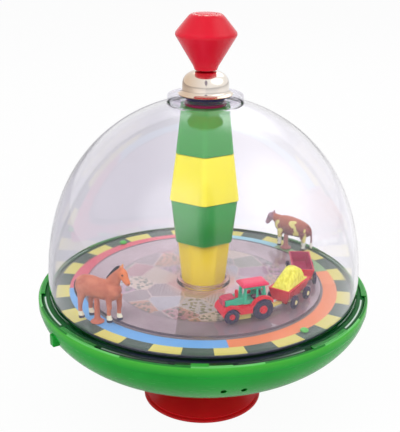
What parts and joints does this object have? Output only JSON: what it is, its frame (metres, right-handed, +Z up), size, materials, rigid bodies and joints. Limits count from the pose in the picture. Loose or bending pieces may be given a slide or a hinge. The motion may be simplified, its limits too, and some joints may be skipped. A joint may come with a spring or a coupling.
{
  "type": "spinning top",
  "caption": "Push-down spinning top on a flared foot: round bowl, clear dome, six-sided centre column, knob on a twisted spindle, farm figures and a small train on a turning disc inside.",
  "frame": {"origin": "centre of the foot's resting face", "axes": "+Z up along the spinning axis, -Y towards the viewer of the picture"},
  "size_m": [0.1888, 0.1888, 0.2266],
  "materials": {
    "green_plastic": "glossy",
    "yellow_plastic": "glossy",
    "red_plastic": "glossy",
    "foot_plastic": "glossy",
    "clear_plastic": "clear, glossy",
    "navy_plastic": "satin",
    "white_plastic": "natural",
    "printed_plastic": "printed in colours",
    "bright_metal": "polished",
    "steel": "plated",
    "pale_yellow_plastic": "glossy",
    "sea_green_plastic": "glossy",
    "horse_paint": "painted, satin",
    "cow_paint": "painted, satin"
  },
  "bodies": {
    "foot": {"foot": "foot_plastic", "pivot_pin": "steel", "thrust_washer": "white_plastic", "pivot_clip": "steel"},
    "housing": {"column_screw_1": "steel", "column_screw_2": "steel", "pivot_bush": "white_plastic", "bowl": "green_plastic", "disc_peg_1": "green_plastic", "disc_peg_2": "green_plastic", "column_lower_green": "green_plastic", "column_upper_green": "green_plastic", "printed_disc": "printed_plastic", "column_lower_yellow": "yellow_plastic", "column_upper_yellow": "yellow_plastic", "crimson_washer": "red_plastic", "column_bush": "navy_plastic", "dome": "clear_plastic", "cap": "bright_metal", "horse": "horse_paint", "horse_post": "horse_paint", "cow": "cow_paint", "cow_post": "cow_paint"},
    "plunger": {"knob": "red_plastic", "knob_plug": "red_plastic", "knob_screw": "steel", "spindle": "steel", "spindle_stop": "white_plastic"},
    "clutch": {"driver_nut": "white_plastic"},
    "carousel": {"tractor_chassis": "red_plastic", "tractor_roof": "red_plastic", "tractor_hood": "red_plastic", "tractor_exhaust": "red_plastic", "tractor_front_axle": "red_plastic", "tractor_rear_axle": "red_plastic", "trailer_front_tub": "red_plastic", "trailer_rear_tub": "red_plastic", "trailer_link": "red_plastic", "tractor_seat": "navy_plastic", "tractor_front_tyre_left": "navy_plastic", "tractor_front_tyre_right": "navy_plastic", "tractor_rear_tyre_left": "navy_plastic", "tractor_rear_tyre_right": "navy_plastic", "trailer_front_front_tyre_left": "navy_plastic", "trailer_front_front_tyre_right": "navy_plastic", "trailer_front_rear_tyre_left": "navy_plastic", "trailer_front_rear_tyre_right": "navy_plastic", "trailer_rear_front_tyre_left": "navy_plastic", "trailer_rear_front_tyre_right": "navy_plastic", "trailer_rear_rear_tyre_left": "navy_plastic", "trailer_rear_rear_tyre_right": "navy_plastic", "carousel_disc": "clear_plastic", "tractor_body": "sea_green_plastic", "hay_load": "pale_yellow_plastic", "tractor_plinth": "pale_yellow_plastic", "tractor_hitch": "pale_yellow_plastic", "trailer_front_front_axle": "pale_yellow_plastic", "trailer_front_rear_axle": "pale_yellow_plastic", "trailer_rear_front_axle": "pale_yellow_plastic", "trailer_rear_rear_axle": "pale_yellow_plastic"}
  },
  "joints": [
    {"name": "spin", "type": "hinge", "parent": "foot", "child": "housing", "pos_m": [0, 0, 0.03], "axis": [0, 0, 1], "continuous": true},
    {"name": "pump", "type": "slide", "parent": "housing", "child": "plunger", "axis": [0, 0, 1], "range_m": [0, 0.1]},
    {"name": "clutch_spin", "type": "hinge", "parent": "housing", "child": "clutch", "pos_m": [0, 0, 0.189], "axis": [0, 0, 1], "range_deg": [-1002, 0]},
    {"name": "carousel_spin", "type": "hinge", "parent": "housing", "child": "carousel", "pos_m": [0, 0, 0.0736], "axis": [0, 0, 1], "continuous": true}
  ],
  "couplings": [
    {"joint": "clutch_spin", "follows": "pump", "rad_per_m": -174.53}
  ]
}
